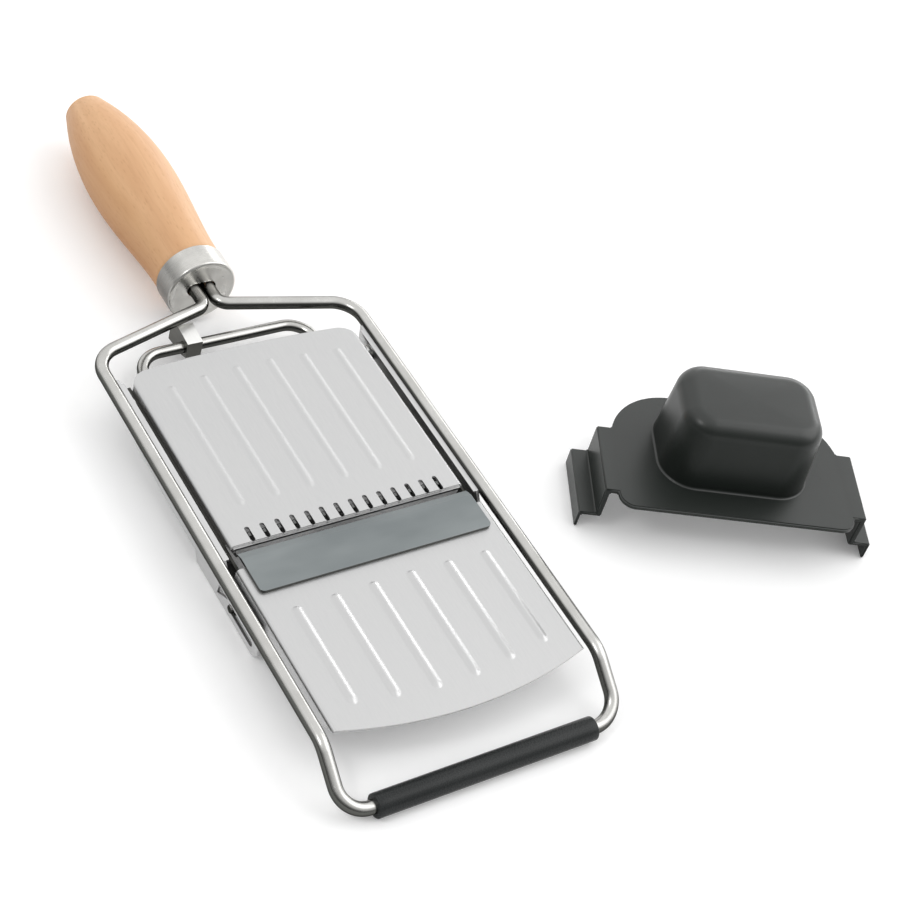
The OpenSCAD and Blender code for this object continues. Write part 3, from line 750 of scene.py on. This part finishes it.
def knob_outline(grow, per_corner=14):
    """The knob's outline in plan, grown by so many mm, always with the same number of points."""
    r = KNOB_R + grow
    middles = ((1, 1), (-1, 1), (-1, -1), (1, -1))
    points = []
    for k, (sx, sy) in enumerate(middles):
        cx = sx * (KNOB_X - KNOB_R)
        cy = (KNOB_Y[1] - KNOB_R) if sy > 0 else (KNOB_Y[0] + KNOB_R)
        for i in range(per_corner + 1):
            a = math.radians(90 * k + 90 * i / per_corner)
            points.append((cx + r * math.cos(a), cy + r * math.sin(a)))
    return points


def knob_levels(inset, low, flare, edge):
    """(growth, height) pairs up one face of the knob, from its foot to the edge of its top."""
    top = KNOB_TOP - inset - (KNOB_CROWN if flare else 0.0)
    levels = [(flare - inset, low)]
    if flare:
        levels += [
            (flare * (1 - math.sin(math.radians(a))), PLATE_TOP + flare * (1 - math.cos(math.radians(a))))
            for a in range(10, 91, 16)
        ]
    start = levels[-1][1]
    levels += [(-inset - KNOB_DRAFT * k / 6, start + (top - edge - start) * k / 6) for k in range(1, 7)]
    levels += [
        (-inset - KNOB_DRAFT - edge * (1 - math.cos(math.radians(a))),
         top - edge + edge * math.sin(math.radians(a)))
        for a in range(9, 91, 9)
    ]
    return levels


def knob_face(bm, levels, crown):
    """Lofts one face of the knob, closes it with a slightly crowned top and returns its lowest ring."""
    rings = [ring(bm, [guard_at(x, y, z) for x, y in knob_outline(grow)]) for grow, z in levels]
    rim, height = knob_outline(levels[-1][0]), levels[-1][1]
    middle = (0.0, sum(KNOB_Y) / 2)
    for k in range(1, 8):
        share = 1 - k / 8
        rings.append(ring(bm, [
            guard_at(middle[0] + (x - middle[0]) * share, middle[1] + (y - middle[1]) * share,
                     height + crown * (1 - share * share))
            for x, y in rim
        ]))
    bridge(bm, rings)
    cap(bm, rings[-1], bm.verts.new(guard_at(*middle, height + crown)))
    return rings[0]


def guard_shell():
    """The guard's plate and skirts from the CAD, with rounded edges, and the knob lofted anew."""
    bm = cad_mesh("guard_body")
    proud = [f for f in bm.faces if any(v.co.z > (PLATE_TOP + 0.05) * MM for v in f.verts)]
    bmesh.ops.delete(bm, geom=proud, context="FACES")
    rims = [e for e in bm.edges if e.is_boundary]
    bmesh.ops.bridge_loops(bm, edges=rims)
    bmesh.ops.recalc_face_normals(bm, faces=bm.faces)
    crisp = [
        e for e in bm.edges
        if e.is_manifold and e.calc_face_angle(0) > math.radians(50) and e not in rims
    ]
    bmesh.ops.bevel(bm, geom=crisp, offset=0.5 * MM, segments=3, affect="EDGES", clamp_overlap=True)
    outer = knob_face(bm, knob_levels(0.0, PLATE_TOP - 0.3, 1.0, 6.6), KNOB_CROWN)
    inner = knob_face(bm, knob_levels(KNOB_WALL, PLATE_LOW, 0.0, 3.2), 0.3)
    bridge(bm, [inner, outer])
    return bm


even_normals(piece("fine_guard_body", guard_shell(), "guard_body", "guard", GUARD, 45.0))
softened("guard_prongs", "guard", SMALL, 0.1)


# ---------------------------------------------------------------- floor, lights and camera


def area_light(name, place, target, size, energy):
    data = bpy.data.lights.new(name, "AREA")
    data.shape = "RECTANGLE"
    data.size, data.size_y = size
    data.energy = energy
    obj = bpy.data.objects.new(name, data)
    obj.location = place
    obj.rotation_euler = (Vector(target) - Vector(place)).to_track_quat("-Z", "Y").to_euler()
    bpy.context.scene.collection.objects.link(obj)


def floor_material():
    n = Nodes("floor_paper")
    fibre = n.noise(n.place(), 260.0, detail=4.0)
    n.colour(n.blend(n.span(fibre, 0.3, 0.7), (0.90, 0.90, 0.90), (0.93, 0.93, 0.93)))
    n.set(Roughness=0.9, IOR=1.3, Emission_Color=(1.0, 1.0, 1.0, 1.0), Emission_Strength=0.12)
    n.bump(fibre, 0.05, 0.05 * MM)
    return n.material


floor_half = 12.0
floor_mesh = bpy.data.meshes.new("floor")
floor_corners = [(x * floor_half, y * floor_half, 0) for x, y in ((-1, -1), (1, -1), (1, 1), (-1, 1))]
floor_mesh.from_pydata(floor_corners, [], [(0, 1, 2, 3)])
floor = bpy.data.objects.new("floor", floor_mesh)
floor_mesh.materials.append(floor_material())
bpy.context.scene.collection.objects.link(floor)

world = bpy.data.worlds.new("studio")
world.use_nodes = True
tree = world.node_tree
tree.nodes.clear()
sky_out = tree.nodes.new("ShaderNodeOutputWorld")
sky = tree.nodes.new("ShaderNodeBackground")
coords = tree.nodes.new("ShaderNodeTexCoord")
toward = tree.nodes.new("ShaderNodeVectorMath")
toward.operation = "DOT_PRODUCT"
toward.inputs[1].default_value = Vector((0.35, 0.42, 0.84)).normalized()
shift = tree.nodes.new("ShaderNodeMapRange")
shift.inputs["From Min"].default_value = -1.0
ramp = tree.nodes.new("ShaderNodeValToRGB")
tree.links.new(coords.outputs["Generated"], toward.inputs[0])
tree.links.new(toward.outputs["Value"], shift.inputs["Value"])
tree.links.new(shift.outputs["Result"], ramp.inputs["Fac"])
tree.links.new(ramp.outputs["Color"], sky.inputs["Color"])
tree.links.new(sky.outputs["Background"], sky_out.inputs["Surface"])
stops = ramp.color_ramp.elements
stops[0].position, stops[0].color = 0.0, (0.12, 0.12, 0.12, 1)
stops[1].position, stops[1].color = 1.0, (1.1, 1.1, 1.1, 1)
for position, level in ((0.45, 0.28), (0.62, 0.72), (0.80, 1.06)):
    stop = stops.new(position)
    stop.color = (level, level, level, 1)
bpy.context.scene.world = world

area_light("key", (1.06, -0.46, 1.1), (0, 0, 0), (1.5, 1.5), 8.0)
area_light("rib_light", (1.36, 0.74, 0.35), (-0.05, 0, 0), (1.3, 0.34), 4.3)
area_light("rim", (-0.9, -0.1, 1.03), (0, 0, 0), (0.3, 0.3), 2.2)

bpy.context.scene.view_settings.view_transform = "Standard"

# the camera looks at the slicer from its front left, and is turned about its own axis
azimuth, elevation, roll = math.radians(43.05), math.radians(44.21), math.radians(18.06)
camera_distance = 0.7374
target = at(51.73, 11.3, 0)
look = Vector((
    math.cos(elevation) * math.sin(azimuth), math.cos(elevation) * math.cos(azimuth), -math.sin(elevation)
))
level = look.cross(Vector((0, 0, 1))).normalized()
upward = level.cross(look)
right = level * math.cos(roll) + upward * math.sin(roll)
up = upward * math.cos(roll) - level * math.sin(roll)
camera_data = bpy.data.cameras.new("camera")
camera_data.lens = 78.84
camera_data.sensor_width = 36.0
camera_data.clip_start = 0.01
camera = bpy.data.objects.new("camera", camera_data)
camera.matrix_world = Matrix((
    (right.x, up.x, -look.x, 0), (right.y, up.y, -look.y, 0), (right.z, up.z, -look.z, 0), (0, 0, 0, 1)
))
camera.location = target - look * camera_distance
bpy.context.scene.collection.objects.link(camera)
bpy.context.scene.camera = camera
